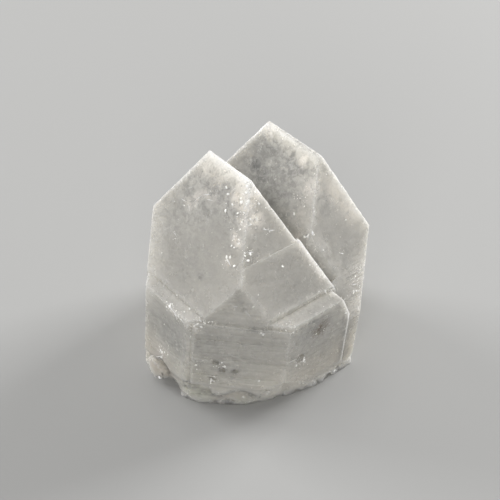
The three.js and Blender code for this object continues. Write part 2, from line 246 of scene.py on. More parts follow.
# How thin crystal is found: lines cast inwards, one straight and some slanting, start a little under the
# surface and reach so far. Paleness, a painted glow where thin crystal would let light through, starts at
# one thinness and is full a span above it, and a soft mark takes a share of it away.
THIN_START = 0.05 * MM
THIN_REACH = 9 * MM
THIN_SLANT = 0.75
THIN_SLANTING = 5
THIN_FROM = 0.27
THIN_SPAN = 0.42
SOFT_PALENESS = 0.7

# The least strength of the growth lines on upright faces, of the sparkle anywhere and more on an edge,
# and the least nearness to an edge at which it is worn.
UPRIGHT_LINES = 0.4
SPARKLE_ANYWHERE = 0.04
SPARKLE_ON_EDGES = 0.07
WORN_FROM = 0.2

# How the flat faces are tiled: points nearer than this share of the step to the face's edge are left
# out. Two points closer than the weld distance are one, two faces that turn by less than the flat angle
# are one, and an edge that turns by more than the sharp angle isn't shaded smooth.
INNER_GAP = 0.62
WELD = 0.002 * MM
FLAT_ANGLE = math.radians(0.3)
SHARP_ANGLE = math.radians(28)

# Colours of what lies in and on the milky crystal, and of the painted shade, highlights and glints on it.
HAZE_CHANGE = 0.05
PINK_TINGE = (0.54, 0.47, 0.41)
GREEN_TINGE = (0.50, 0.515, 0.42)
VEIL_DARK = (0.31, 0.31, 0.302)
VEIL_LIGHT = (0.74, 0.73, 0.70)
# Dark spots, and painted shade.
DARK_SPOT_AND_SHADE = (0.17, 0.175, 0.178)
# Bruises, and painted glints.
BRUISE_AND_GLINT = (1.0, 0.955, 0.895)
THREAD = (0.9, 0.89, 0.86)
# Painted glint specks.
GLINT_SPECK = (0.98, 0.96, 0.92)
LINE_DARK = (0.41, 0.40, 0.375)
LINE_LIGHT = (0.68, 0.67, 0.635)
# Worn edges, and painted highlight on them.
WORN_EDGE_AND_HIGHLIGHT = (0.95, 0.94, 0.91)
CREASE_SHADE = (0.25, 0.24, 0.22)
PIT_SHADE = (0.07, 0.07, 0.065)
RUST = (0.15, 0.095, 0.05)
FLAKE_DULL = (0.88, 0.87, 0.83)
FLAKE_BRIGHT = (0.99, 0.985, 0.96)

# How light passes through the crystal.
REFRACTION = 1.535
SEE_THROUGH = 0.25
MILK_DEPTH = 4.5 * MM
MILK_SPREAD = (1.0, 0.98, 0.93)
ABSORB_COLOUR = (0.86, 0.85, 0.80, 1.0)
ABSORB_DENSITY = 25.0
FLAKE_REFRACTION = 1.9

# The crystals' noises: spots to a millimetre, detail, roughness and twist, and the range that is spread.
NOISES = {
    "haze": ((0.14, 4.0, 0.6, 0.5), (0.34, 0.68)),
    "fine": ((0.95, 8.0, 0.7, 0.7), (0.37, 0.63)),
    "grain": ((1.0, 6.0, 0.7, 0.6), (0.3, 0.56)),
    "patches": ((1.2, 8.0, 0.72, 1.4), (0.38, 0.50)),
    "stains": ((1.7, 6.0, 0.7, 0.8), (0.42, 0.56)),
    "speckle": ((3.6, 3.0, 0.65, 0.0), (0.3, 0.7)),
    "polish": ((0.6, 4.0, 0.6, 0.0), (0.35, 0.7)),
}
THREAD_NOISE = (0.40, 3.0, 0.6, 1.4)
SKIN_NOISE = (2.4, 6.0, 0.65)
# The growth lines' noise, and how it is stretched sideways and squeezed upright.
LINE_NOISE = (1.0, 6.0, 0.7, 0.15)
LINE_STRETCH = (0.07, 0.07, 2.2)
# The roughness of the glassiest and of the dullest patches.
POLISH = (0.12, 0.30)

# How thick a crack's sliver is, as a share of its width, up to a widest one in millimetres.
CRACK_THICKNESS = 0.3
CRACK_WIDEST = 0.2

# A flake's three sizes as shares of its length, how far it tilts in radians, and how lengths are spread:
# the shortest share, the span above it, and the power that keeps long ones rare.
FLAKE_FORM = (("X", 1.0), ("Y", 0.62), ("Z", 0.22))
FLAKE_TILT = 0.3
FLAKE_SHORTEST = 0.4
FLAKE_SPAN = 1.6
FLAKE_RARITY = 4.0
# The power that gathers the flakes where the sparkle is strong.
FLAKE_GATHERING = 1.6


class CrystalSettings(bpy.types.PropertyGroup):
    """Sizes and colours of the crystals' surface."""

    mesh_step: bpy.props.FloatProperty(
        name="Mesh step", description="Distance between points of the fine surface",
        default=0.30 * MM, unit="LENGTH")
    edge_wear: bpy.props.FloatProperty(
        name="Edge wear", description="How far the sharp edges are worn back",
        default=0.085 * MM, unit="LENGTH")
    face_wave: bpy.props.FloatProperty(
        name="Face wave", description="Height of the slow waves on the faces",
        default=0.035 * MM, unit="LENGTH")
    growth_line: bpy.props.FloatProperty(
        name="Growth line", description="Depth of the level lines on the upright faces",
        default=0.05 * MM, unit="LENGTH")
    break_depth: bpy.props.FloatProperty(
        name="Break depth", description="Depth of the hackly break on the root",
        default=0.5 * MM, unit="LENGTH")
    notch_depth: bpy.props.FloatProperty(
        name="Notch depth", description="Depth of the notches in the root's edge",
        default=0.6 * MM, unit="LENGTH")
    root_height: bpy.props.FloatProperty(
        name="Root height", description="Faces above this are never broken",
        default=16 * MM, unit="LENGTH")
    milk: bpy.props.FloatVectorProperty(
        name="Milk", description="Colour of the crystal's milky middle",
        default=(0.54, 0.524, 0.49), size=3, subtype="COLOR")
    # Rim is the colour of painted glow: on thin crystal, at the foot and on the lips over the break.
    rim: bpy.props.FloatVectorProperty(
        name="Rim", description="Colour where the crystal is thin",
        default=(0.88, 0.86, 0.81), size=3, subtype="COLOR")
    cream: bpy.props.FloatVectorProperty(
        name="Cream", description="Warm colour of the root",
        default=(0.76, 0.715, 0.615), size=3, subtype="COLOR")
    grain_dark: bpy.props.FloatVectorProperty(
        name="Grain dark", description="What the fine grain's dark spots multiply the colour by",
        default=(0.93, 0.93, 0.93), size=3, subtype="COLOR")
    grain_light: bpy.props.FloatVectorProperty(
        name="Grain light", description="What the fine grain's light spots multiply the colour by",
        default=(1.0, 1.0, 0.99), size=3, subtype="COLOR")


class SparkleSettings(bpy.types.PropertyGroup):
    """Sizes and number of the bright flakes."""

    density: bpy.props.FloatProperty(
        name="Density", description="Flakes on a square metre where they are thickest", default=6.0e6)
    size: bpy.props.FloatProperty(
        name="Size", description="Length of a flake", default=0.36 * MM, unit="LENGTH")
    seed: bpy.props.IntProperty(
        name="Seed", description="Changes where the flakes fall", default=7)


class StageSettings(bpy.types.PropertyGroup):
    """The floor and the lights."""

    floor_size: bpy.props.FloatProperty(
        name="Floor size", description="Width of the floor", default=3.0, unit="LENGTH")
    floor_colour: bpy.props.FloatVectorProperty(
        name="Floor colour", description="Colour of the plain floor",
        default=(0.37, 0.37, 0.365), size=3, subtype="COLOR")
    room_colour: bpy.props.FloatVectorProperty(
        name="Room colour", description="Colour of the light from all around",
        default=(1.0, 0.985, 0.96), size=3, subtype="COLOR")
    room_strength: bpy.props.FloatProperty(
        name="Room strength", description="Strength of the light from all around", default=0.32)
    top_power: bpy.props.FloatProperty(
        name="Top light", description="Power of the light overhead", default=0.6)
    left_power: bpy.props.FloatProperty(
        name="Left light", description="Power of the light behind left", default=4.1)
    right_power: bpy.props.FloatProperty(
        name="Right light", description="Power of the light behind right", default=7.4)
    fill_power: bpy.props.FloatProperty(
        name="Fill light", description="Power of the light in front", default=2.1)


# Node helpers

def feed(tree, socket, value):
    """Links a socket or sets a plain value."""
    if isinstance(value, bpy.types.NodeSocket):
        tree.links.new(value, socket)
    else:
        socket.default_value = value


def add(tree, kind, options=None, **inputs):
    """A node with its options and named inputs."""
    made = tree.nodes.new(kind)
    for name, value in (options or {}).items():
        setattr(made, name, value)
    for name, value in inputs.items():
        feed(tree, made.inputs[name.replace("_", " ")], value)
    return made


def maths(tree, operation, first, second=0.0, clamp=False):
    """One operation on two values."""
    made = tree.nodes.new("ShaderNodeMath")
    made.operation = operation
    made.use_clamp = clamp
    for index, value in enumerate((first, second)):
        feed(tree, made.inputs[index], value)
    return made.outputs[0]


def part(tree, amount, *factors):
    """A plain amount times every factor."""
    for factor in factors:
        amount = maths(tree, "MULTIPLY", factor, amount)
    return amount


def spread(tree, value, low, high, to_low=0.0, to_high=1.0):
    """Maps a range smoothly onto another one."""
    made = add(tree, "ShaderNodeMapRange", {"interpolation_type": "SMOOTHSTEP"}, Value=value)
    for name, number in (("From Min", low), ("From Max", high), ("To Min", to_low), ("To Max", to_high)):
        feed(tree, made.inputs[name], number)
    return made.outputs["Result"]


def blend_colour(tree, factor, first, second, kind="MIX"):
    """The second colour laid over the first by a factor."""
    made = add(tree, "ShaderNodeMix", {"data_type": "RGBA", "blend_type": kind})
    feed(tree, made.inputs[0], factor)
    for index, colour in ((6, first), (7, second)):
        linked = isinstance(colour, bpy.types.NodeSocket)
        feed(tree, made.inputs[index], colour if linked else (*colour, 1.0))
    return made.outputs[2]


def cloud(tree, place, scale, detail=4.0, rough=0.55, twist=0.0):
    """Soft noise with so many spots to a millimetre."""
    made = add(
        tree, "ShaderNodeTexNoise", Vector=place, Scale=scale, Detail=detail, Roughness=rough,
        Distortion=twist)
    return made.outputs["Fac"]


def patchy(tree, place, name, to_low=0.0, to_high=1.0):
    """One of the crystals' noises, spread onto a range."""
    look, (low, high) = NOISES[name]
    return spread(tree, cloud(tree, place, *look), low, high, to_low, to_high)


def scaled(tree, place, scale):
    """The place, stretched along each axis."""
    made = tree.nodes.new("ShaderNodeVectorMath")
    made.operation = "MULTIPLY"
    feed(tree, made.inputs[0], place)
    made.inputs[1].default_value = scale
    return made.outputs[0]


def mark(tree, name):
    """A value that was painted on the mesh's points."""
    return add(tree, "ShaderNodeAttribute", {"attribute_name": name}).outputs["Fac"]


def growth_place(tree):
    """The point in millimetres in the crystals' own upright frame."""
    where = add(tree, "ShaderNodeTexCoord").outputs["Object"]
    turned = add(tree, "ShaderNodeMapping", Vector=where)
    turned.inputs["Scale"].default_value = (1 / MM, 1 / MM, 1 / MM)
    turned.inputs["Rotation"].default_value = (0, -GROWTH_LEAN, -GROWTH_TURN)
    return turned.outputs["Vector"]


def new_material(name):
    """A material with its surface shader joined to its output."""
    material = bpy.data.materials.new(name)
    material.use_nodes = True
    tree = material.node_tree
    tree.nodes.clear()
    shader = tree.nodes.new("ShaderNodeBsdfPrincipled")
    output = tree.nodes.new("ShaderNodeOutputMaterial")
    tree.links.new(shader.outputs[0], output.inputs["Surface"])
    return material, shader, output


# Materials

def mottle_group():
    """The milky mottling that the crystals and the flakes share: haze, fine clouds, threads and specks of
    painted glint.
    """
    group = bpy.data.node_groups.new("milky_mottle", "ShaderNodeTree")
    group.interface.new_socket("Place", in_out="INPUT", socket_type="NodeSocketVector")
    for name in ("Haze", "Cloud", "Threads", "Dust"):
        group.interface.new_socket(name, in_out="OUTPUT", socket_type="NodeSocketFloat")
    place = group.nodes.new("NodeGroupInput").outputs["Place"]
    end = group.nodes.new("NodeGroupOutput")
    off_middle = maths(group, "SUBTRACT", cloud(group, place, *THREAD_NOISE), 0.5)
    threads = spread(group, maths(group, "ABSOLUTE", off_middle), 0.022, 0.0)
    # Small bright specks in a few of the cells: painted glints.
    grains = add(group, "ShaderNodeTexVoronoi", {"feature": "F1"}, Vector=place, Scale=1.3)
    grain_value = add(group, "ShaderNodeSeparateColor", Color=grains.outputs["Color"]).outputs["Red"]
    speck = spread(group, grains.outputs["Distance"], 0.19, 0.08)
    glints = maths(group, "MULTIPLY", speck, spread(group, grain_value, 0.6, 0.7))
    haze = patchy(group, place, "haze")
    fine = patchy(group, place, "fine")
    for name, value in (("Haze", haze), ("Cloud", fine), ("Threads", threads), ("Dust", glints)):
        group.links.new(value, end.inputs[name])
    return group


def crystal_colour(settings, tree, group, place, banding):
    """The milk, the root's cream, the veils and every mark, painted glow, shade, highlights and glints
    among them, laid one over the other.
    """
    mottle = add(tree, "ShaderNodeGroup", {"node_tree": group}, Place=place)
    haze, fine, threads, glints = (mottle.outputs[name] for name in ("Haze", "Cloud", "Threads", "Dust"))
    height = mark(tree, "height")
    grain, patches, stains = (patchy(tree, place, name) for name in ("grain", "patches", "stains"))
    veil = maths(tree, "ADD", part(tree, 0.62, mark(tree, "veil")), 0.10)
    dapple = blend_colour(tree, fine, VEIL_DARK, VEIL_LIGHT)
    bands = blend_colour(tree, spread(tree, banding, 0.36, 0.64), LINE_DARK, LINE_LIGHT)
    high = spread(tree, height, 0.3, 0.5, 0.35, 1.0)
    layers = (
        (part(tree, 0.85, spread(tree, height, 0.36, 0.03)), settings.cream),
        # Painted glow at the foot, lighter towards the ground.
        (part(tree, 0.7, spread(tree, height, 0.09, 0.02)), settings.rim),
        (part(tree, 0.75, mark(tree, "pink")), PINK_TINGE),
        (part(tree, 0.75, mark(tree, "green")), GREEN_TINGE),
        (veil, dapple),
        # Dark spots, partly painted shade.
        (part(tree, 0.8, mark(tree, "dark"), grain), DARK_SPOT_AND_SHADE),
        # Painted glow where the crystal is thin.
        (part(tree, 0.62, mark(tree, "thin"), spread(tree, fine, -0.6, 1.0, 0.5, 1.0)), settings.rim),
        # Bruises, partly painted glints.
        (part(tree, 1.0, mark(tree, "bright"), patches), BRUISE_AND_GLINT),
        (part(tree, 0.09, threads), THREAD),
        # Painted glints as small specks.
        (part(tree, 0.3, glints), GLINT_SPECK),
        (part(tree, 0.4, mark(tree, "lined")), bands),
        # Worn edges, partly painted highlight.
        (part(tree, 0.12, mark(tree, "edge"), high), WORN_EDGE_AND_HIGHLIGHT),
        # Painted glow on the lips over the break.
        (part(tree, 0.55, mark(tree, "lip")), settings.rim),
        (part(tree, 0.55, mark(tree, "crease")), CREASE_SHADE),
        (part(tree, 0.4, mark(tree, "pit"), grain), PIT_SHADE),
        (part(tree, 0.75, mark(tree, "rust"), stains), RUST),
    )
    hazy = [tuple(value * share for value in settings.milk) for share in (1 - HAZE_CHANGE, 1 + HAZE_CHANGE)]
    colour = blend_colour(tree, haze, *hazy)
    for amount, over in layers:
        colour = blend_colour(tree, amount, colour, over)
    shade = blend_colour(tree, patchy(tree, place, "speckle"), settings.grain_dark, settings.grain_light)
    return blend_colour(tree, 1.0, colour, shade, "MULTIPLY")


def crystal_roughness(tree, place):
    """Glassy in patches, duller on worn edges and on the break."""
    grown = patchy(tree, place, "polish", *POLISH)
    rough = maths(tree, "ADD", grown, part(tree, 0.28, mark(tree, "broken")))
    return maths(tree, "ADD", rough, part(tree, 0.1, mark(tree, "edge")), clamp=True)


def crystal_relief(tree, place, banding):
    """Fine growth lines on the upright faces, and a skin that is rougher on the break."""
    line_depth = maths(tree, "ADD", part(tree, 0.9, mark(tree, "lined")), 0.06)
    skin_depth = maths(tree, "ADD", part(tree, 1.2, mark(tree, "broken")), 0.12)
    lines = maths(tree, "MULTIPLY", banding, line_depth)
    skin = maths(tree, "MULTIPLY", cloud(tree, place, *SKIN_NOISE), skin_depth)
    relief = maths(tree, "ADD", part(tree, 0.42, lines), part(tree, 0.22, skin))
    return add(tree, "ShaderNodeBump", Height=relief, Strength=1.0, Distance=1.0 * MM).outputs["Normal"]


def crystal_material(settings, group):
    """Milky, part see-through crystal: grey in the thick middle, pale with painted glow where thin, creamy
    at the root.
    """
    material, shader, output = new_material("milky_crystal")
    tree = material.node_tree
    place = growth_place(tree)
    banding = cloud(tree, scaled(tree, place, LINE_STRETCH), *LINE_NOISE)
    feed(tree, shader.inputs["Base Color"], crystal_colour(settings, tree, group, place, banding))
    feed(tree, shader.inputs["Roughness"], crystal_roughness(tree, place))
    feed(tree, shader.inputs["Normal"], crystal_relief(tree, place, banding))
    absorb = add(tree, "ShaderNodeVolumeAbsorption", Color=ABSORB_COLOUR, Density=ABSORB_DENSITY)
    tree.links.new(absorb.outputs["Volume"], output.inputs["Volume"])
    shader.inputs["IOR"].default_value = REFRACTION
    shader.inputs["Transmission Weight"].default_value = SEE_THROUGH
    shader.inputs["Subsurface Weight"].default_value = 1.0
    shader.inputs["Subsurface Radius"].default_value = MILK_SPREAD
    shader.inputs["Subsurface Scale"].default_value = MILK_DEPTH
    shader.inputs["Subsurface Anisotropy"].default_value = 0.0
    shader.inputs["Metallic"].default_value = 0.0
    return material


def flake_material(group):
    """Bright flakes and bruises that catch the light."""
    material, shader, _ = new_material("bright_flake")
    tree = material.node_tree
    mottle = add(tree, "ShaderNodeGroup", {"node_tree": group}, Place=growth_place(tree))
    tone = blend_colour(tree, mottle.outputs["Cloud"], FLAKE_DULL, FLAKE_BRIGHT)
    feed(tree, shader.inputs["Base Color"], tone)
    feed(tree, shader.inputs["Roughness"], spread(tree, mottle.outputs["Dust"], 0.0, 1.0, 0.3, 0.5))
    shader.inputs["IOR"].default_value = FLAKE_REFRACTION
    shader.inputs["Metallic"].default_value = 0.0
    return material


# The fine surface

def growth_turned(direction):
    """A direction of the crystals' upright frame, turned and leaned as they grow."""
    return Matrix.Rotation(GROWTH_LEAN, 3, "Y") @ Matrix.Rotation(GROWTH_TURN, 3, "Z") @ Vector(direction)


def sloping(around, slope):
    """A direction that far round the upright and that far down from it."""
    return Vector((math.cos(around) * math.sin(slope), math.sin(around) * math.sin(slope), math.cos(slope)))


def growth_directions():
    """Outward directions of every kind of face that the crystals grow: tips, sides, bevels, level faces."""
    found = [(0, 0, 1), (0, 0, -1)]
    for eighth in range(8):
        around = eighth * math.pi / 4
        found.append((math.cos(around), math.sin(around), 0))
        if eighth % 2:
            found.append(sloping(around, TIP_SLOPE))
    front_left = 5 * math.pi / 4
    found.append(sloping(front_left, LEDGE_SLOPE))
    return [growth_turned(direction) for direction in found]


def whole_faces(mesh):
    """The solid's flat faces as single polygons, with its doubled points merged."""
    shape = bmesh.new()
    shape.from_mesh(mesh)
    bmesh.ops.remove_doubles(shape, verts=shape.verts, dist=WELD)
    bmesh.ops.dissolve_degenerate(shape, edges=shape.edges, dist=WELD)
    bmesh.ops.dissolve_limit(
        shape, angle_limit=FLAT_ANGLE, use_dissolve_boundaries=False, verts=shape.verts, edges=shape.edges)
    return shape


def divide_edges(shape, step):
    """Adds evenly spaced points along every edge, so that both of its faces share them."""
    for edge in list(shape.edges):
        pieces = max(1, round(edge.calc_length() / step))
        start = edge.verts[0]
        for left in range(pieces, 1, -1):
            edge, fresh = bmesh.utils.edge_split(edge, start, 1.0 / left)
            edge = next(e for e in fresh.link_edges if start not in e.verts)
            start = fresh


def grid_inside(flat, step):
    """Points in staggered rows over a flat outline's box, all of them clear of the outline's own points."""
    rim = KDTree(len(flat))
    for index, point in enumerate(flat):
        rim.insert((*point, 0), index)
    rim.balance()
    low = [min(point[axis] for point in flat) for axis in (0, 1)]
    high = [max(point[axis] for point in flat) for axis in (0, 1)]
    row_height = step * math.sqrt(0.75)
    inner = []
    for row in range(int((high[1] - low[1]) / row_height) + 1):
        for column in range(int((high[0] - low[0]) / step) + 1):
            point = Vector((low[0] + (column + 0.5 * (row % 2)) * step, low[1] + row * row_height))
            if rim.find((*point, 0))[2] > step * INNER_GAP:
                inner.append(point)
    return inner


def fill_face(face, step):
    """Corners of the small triangles that tile one flat face: its own points and a grid inside it."""
    normal = face.normal
    across = normal.orthogonal().normalized()
    up = normal.cross(across)
    centre = face.calc_center_median()
    flat = [Vector(((v.co - centre).dot(across), (v.co - centre).dot(up))) for v in face.verts]
    outline = [list(range(len(flat)))]
    only_inside, closeness = 1, 1e-9
    points, _, faces, origins, _, _ = geometry.delaunay_2d_cdt(
        flat + grid_inside(flat, step), [], outline, only_inside, closeness)
    places = [centre + across * p[0] + up * p[1] for p in points]
    return places, faces, origins


def fine_mesh(shape, step):
    """Tiles every flat face with small triangles: their points, corners and each one's flat face."""
    points = [v.co.copy() for v in shape.verts]
    shape.verts.index_update()
    triangles, owners = [], []
    for number, face in enumerate(shape.faces):
        own = [v.index for v in face.verts]
        if len(own) == 3:
            triangles.append(own)
            owners.append(number)
            continue
        places, faces, origins = fill_face(face, step)
        index = []
        for place, origin in zip(places, origins):
            on_rim = [o for o in origin if o < len(own)]
            if on_rim:
                index.append(own[on_rim[0]])
            else:
                index.append(len(points))
                points.append(place)
        for tile in faces:
            corners = [index[i] for i in tile]
            a, b, c = (points[i] for i in corners)
            if len(set(corners)) == 3:
                turned = (b - a).cross(c - a).dot(face.normal) < 0
                triangles.append(corners[::-1] if turned else corners)
                owners.append(number)
    used, tiles = np.unique(np.array(triangles), return_inverse=True)
    return np.array(points)[used], tiles.reshape(-1, 3), np.array(owners)


def view_ahead():
    """The direction that the camera looks in."""
    return Vector((0, math.cos(VIEW_DOWN), -math.sin(VIEW_DOWN)))


def camera_ray(pixel):
    """The line of sight through a pixel of the photograph."""
    ahead = view_ahead()
    right = Vector((1, 0, 0))
    above = right.cross(ahead)
    middle = PHOTO_SIZE / 2
    across, down = ((value - middle) / VIEW_FOCAL for value in pixel)
    return VIEW_TARGET - ahead * VIEW_DISTANCE, (ahead + right * across - above * down).normalized()


def seen_at(tree, pixel):
    """The point of the crystals that a pixel of the photograph shows, and the direction of its face."""
    place, normal, _, _ = tree.ray_cast(*camera_ray(pixel))
    if place is None:
        raise RuntimeError(f"the mark at {pixel} misses the crystals")
    return place, normal


def dotted(path, gap=3.0):
    """Pixels a small gap apart along a path of pixels."""
    dots = [path[0]]
    for (x0, y0), (x1, y1) in zip(path, path[1:]):
        count = max(1, round(math.hypot(x1 - x0, y1 - y0) / gap))
        dots += [(x0 + (x1 - x0) * k / count, y0 + (y1 - y0) * k / count) for k in range(1, count + 1)]
    return dots


def painted(points, tree, marks):
    """How strongly round marks cover each point. They sit where the photograph shows them."""
    total = np.zeros(len(points))
    for path, radius, strength in marks:
        for pixel in dotted(path):
            distance = np.linalg.norm(points - np.array(seen_at(tree, pixel)[0]), axis=1) / (radius * MM)
            total = np.maximum(total, strength * np.exp(-0.5 * distance ** 2))
    return total


def thinness(points, normals, tree):
    """1 where the crystal is thin behind a point, 0 where it is thick, from a few lines cast inwards."""
    result = np.zeros(len(points))
    turns = [k * math.pi * 2 / THIN_SLANTING for k in range(THIN_SLANTING)]
    tilts = [(0.0, 0.0)] + [(THIN_SLANT, turn) for turn in turns]
    for index, (point, normal) in enumerate(zip(points, normals)):
        inward = Vector(-normal)
        side = inward.orthogonal().normalized()
        other = inward.cross(side)
        start = Vector(point) + inward * THIN_START
        depth = 0.0
        for tilt, turn in tilts:
            line = inward + (side * math.cos(turn) + other * math.sin(turn)) * tilt
            hit = tree.ray_cast(start, line.normalized(), THIN_REACH)
            depth += min(THIN_REACH, hit[3]) if hit[0] is not None else THIN_REACH
        result[index] = 1 - depth / (THIN_REACH * len(tilts))
    return result


def nearness(place, chosen, fade):
    """1 on the chosen points, fading to 0 with the distance from them."""
    near = KDTree(len(chosen))
    for index in chosen:
        near.insert(place[index], index)
    near.balance()
    return np.exp(-np.array([near.find(p)[2] for p in place]) / fade)


def gathered(values, tiles, count):
    """The sum, at each point, of a value that the triangles around it have."""
    total = np.zeros((count, *values.shape[1:]))
    for corner in range(3):
        np.add.at(total, tiles[:, corner], values)
    return total


# The relief, each kind from 0 to about 1 at a spot in millimetres

def slow_wave(spot):
    """The gentle unevenness of a grown face."""
    return max(0, noise.fractal(spot * 0.22, 1.0, 2.0, 2) * 0.5 + 0.5)


def edge_nick(spot):
    """How far a worn edge is nicked: a little all along it, and more here and there."""
    return 0.25 + max(0, noise.fractal(spot * 1.3, 0.9, 2.0, 3) * 0.9 + 0.35)


def level_line(spot):
    """The growth lines, which stay level in the crystals' own frame."""
    height = spot.z + spot.x * math.sin(GROWTH_LEAN)
    return max(0, noise.fractal(Vector((spot.x * 0.05, spot.y * 0.05, height * 1.6)), 1.0, 2.0, 2) + 0.5)


def hackle(spot):
    """The break's blocks, crumbs and shells, which fade out in the last bit above the ground."""
    block = abs(noise.cell(Vector((spot.x * 0.45, spot.y * 0.45, spot.z * 0.8))))
    crumb = abs(noise.cell(spot * 1.3))
    shell = max(0, noise.fractal(spot * 1.1, 0.8, 2.0, 3) + 0.4)
    return (0.6 * block + 0.15 * crumb + 0.25 * shell) * min(1.0, spot.z / 1.2)


# Finished pieces

def keep_inside(mesh):
    """Holds a mesh's points inside the solid's box."""
    place = np.empty(len(mesh.vertices) * 3, np.float32)
    mesh.vertices.foreach_get("co", place)
    mesh.vertices.foreach_set("co", np.clip(place.reshape(-1, 3), CAD_BOX[0], CAD_BOX[1]).ravel())
    mesh.update()


def show(context, name, data):
    """An object with its mesh, light or lens, linked to the scene."""
    made = bpy.data.objects.new(name, data)
    context.scene.collection.objects.link(made)
    return made


class CRYSTAL_OT_grow(bpy.types.Operator):
    """Build the crystals' fine surface from the solid, wear its edges and break its root."""

    bl_idname = "crystal.grow"
    bl_label = "Grow the crystals"

    def execute(self, context):
        settings = context.scene.crystal_settings
        shape = whole_faces(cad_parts[CLUSTER].data)
        divide_edges(shape, settings.mesh_step)
        place, tiles, owner = fine_mesh(shape, settings.mesh_step)
        directions, broad, grown, standing = self.face_facts(shape, settings.root_height)
        shape.free()

        count = len(place)
        share = np.maximum(gathered(np.ones(len(tiles)), tiles, count), 1)
        broken = gathered(~grown[owner], tiles, count) / share
        upright = gathered(standing[owner], tiles, count) / share
        normals = gathered(directions[owner], tiles, count)
        normals /= np.linalg.norm(normals, axis=1, keepdims=True) + 1e-12

        lines = self.ridges_lips_and_creases(place, tiles, owner, directions, broad)
        values, notch = self.surface_values(place, tiles, normals, lines)
        values["broken"] = broken
        values["lined"] = np.maximum(values["lined"], UPRIGHT_LINES * upright)
        depth = self.carved_depth(settings, place, values["edge"], broken, upright)
        place -= normals * (depth + settings.notch_depth * notch)[:, None]
        place[:, 2] = np.maximum(place[:, 2], 0)

        piece = show(context, "milky_crystals", self.finished_mesh(place, tiles, values))
        piece.data.materials.append(crystal_material(settings, mottle_group()))
        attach(piece, BODY)
        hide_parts(CLUSTER)
        return {"FINISHED"}

    def face_facts(self, shape, root_top):
        """Each flat face's direction, and whether it is broad, grown rather than broken, and upright."""
        directions = [face.normal.copy() for face in shape.faces]
        kinds = growth_directions()
        axis = growth_turned((0, 0, 1))
        broad = [face.calc_area() > BROAD_AREA for face in shape.faces]
        high = [face.calc_center_median().z > root_top for face in shape.faces]
        grown = [
            over or max(direction.dot(kind) for kind in kinds) > GROWN_MATCH
            for over, direction in zip(high, directions)]
        standing = [abs(direction.dot(axis)) < UPRIGHT_MATCH for direction in directions]
        return np.array([d[:] for d in directions]), np.array(broad), np.array(grown), np.array(standing)

    def ridges_lips_and_creases(self, place, tiles, owner, directions, broad):
        """The points on ridges between broad faces, on lips over the break and in hollow creases."""
        sides = {}
        for tile, (corners, number) in enumerate(zip(tiles, owner)):
            for a, b in ((0, 1), (1, 2), (2, 0)):
                key = tuple(sorted((int(corners[a]), int(corners[b]))))
                sides.setdefault(key, []).append((number, tile))
        ridges, lips, creases = set(), set(), set()
        for key, users in sides.items():
            if len(users) != 2 or users[0][0] == users[1][0]:
                continue
            (first, _), (second, tile) = users
            alike = directions[first] @ directions[second] > SAME_FACE_MATCH
            if alike or not (broad[first] or broad[second]):
                continue
            away = place[tiles[tile]].mean(0) - place[list(key)].mean(0)
            if directions[first] @ away > 0:
                creases.update(key)
            elif broad[first] and broad[second]:
                ridges.update(key)
            elif min(directions[first][2], directions[second][2]) < OVERHANG:
                lips.update(key)
        return ridges, lips, creases

    def surface_values(self, place, tiles, normals, lines):
        """What the material reads at each point, by name, and how deeply each point is notched."""
        whole = BVHTree.FromPolygons([tuple(p) for p in place], tiles.tolist())
        values = {name: painted(place, whole, marks) for name, marks in MARKS.items()}
        soft, pale, notch = (values.pop(name) for name in ("soft", "pale", "notch"))
        ridges, lips, creases = lines
        height = place[:, 2]
        thin = np.clip((thinness(place, normals, whole) - THIN_FROM) / THIN_SPAN, 0, 1)
        # Thin crystal gets painted glow: pale marks add to it and soft marks fade it.
        values["thin"] = np.maximum(thin * (1 - SOFT_PALENESS * soft), pale)
        # The edge value drives the wear and the painted highlight on the edges.
        edge = nearness(place, ridges, EDGE_FADE) * (1 - soft)
        values["edge"] = edge
        values["crease"] = nearness(place, creases, CREASE_FADE) * np.interp(height / MM, *CREASE_SHARE)
        # The lips over the break get painted glow.
        values["lip"] = nearness(place, lips, LIP_FADE) * np.interp(height / MM, *LIP_SHARE)
        values["height"] = height / CAD_BOX[1][2]
        values["sparkle"] = np.clip(values["sparkle"] + SPARKLE_ANYWHERE + SPARKLE_ON_EDGES * edge, 0, 1)
        return values, notch

    def carved_depth(self, settings, place, edge, broken, upright):
        """How far each point sinks into the solid, so that nothing stands out of it."""
        depth = np.zeros(len(place))
        for index, point in enumerate(place):
            spot = Vector(point) / MM
            sunk = settings.face_wave * slow_wave(spot)
            if edge[index] > WORN_FROM:
                sunk += settings.edge_wear * edge[index] ** 3 * edge_nick(spot)
            if upright[index] > 0:
                sunk += settings.growth_line * upright[index] * level_line(spot)
            if broken[index] > 0:
                sunk += settings.break_depth * broken[index] * hackle(spot)
            depth[index] = sunk
        return depth

    def finished_mesh(self, place, tiles, values):
        """The crystals' mesh, with its values on the points and its sharp edges kept."""
        mesh = bpy.data.meshes.new("milky_crystals")
        mesh.from_pydata(place.tolist(), [], tiles.tolist())
        mesh.update()
        for name, value in values.items():
            layer = mesh.attributes.new(name, "FLOAT", "POINT")
            layer.data.foreach_set("value", value.astype(np.float32))
        mesh.shade_smooth()
        mesh.set_sharp_from_angle(angle=SHARP_ANGLE)
        return mesh


